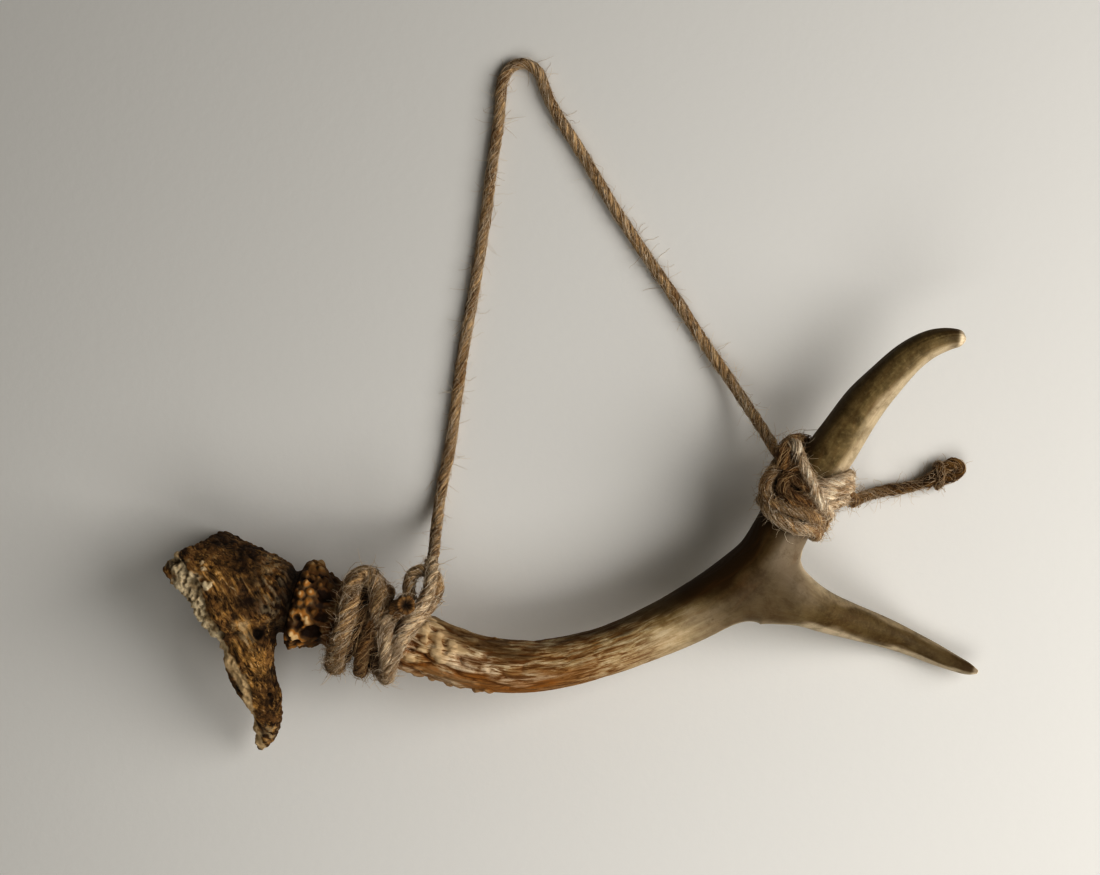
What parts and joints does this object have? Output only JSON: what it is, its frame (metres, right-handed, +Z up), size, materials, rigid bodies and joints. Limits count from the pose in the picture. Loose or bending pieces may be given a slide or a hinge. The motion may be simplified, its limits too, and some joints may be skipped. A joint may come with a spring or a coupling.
{
  "type": "deer antler on its skull fragment, tied with jute twine",
  "caption": "Forked deer antler with burr, pedicle and a broken piece of skull, bound in jute twine that forms a hanging loop; it lies on a flat surface.",
  "frame": {"origin": "centre of the underside of the box round the antler, its skull piece and its bindings, on the surface that it lies on", "axes": "+X from the skull piece towards the tines, +Y across the antler towards the twine loop, +Z up"},
  "size_m": [0.2952, 0.2548, 0.0479],
  "materials": {
    "skull_bone": "weathered rough bone",
    "beam_bone": "weathered antler, ridged",
    "tine_bone": "smooth worn antler",
    "jute": "hairy jute twine"
  },
  "bodies": {
    "root": {"skull_fragment": "skull_bone", "beam": "beam_bone", "upper_tine": "tine_bone", "lower_tine": "tine_bone", "burr_binding": "jute", "fork_binding": "jute", "hanging_twine": "jute", "tail_twine": "jute", "tail_knot": "jute"}
  },
  "joints": []
}
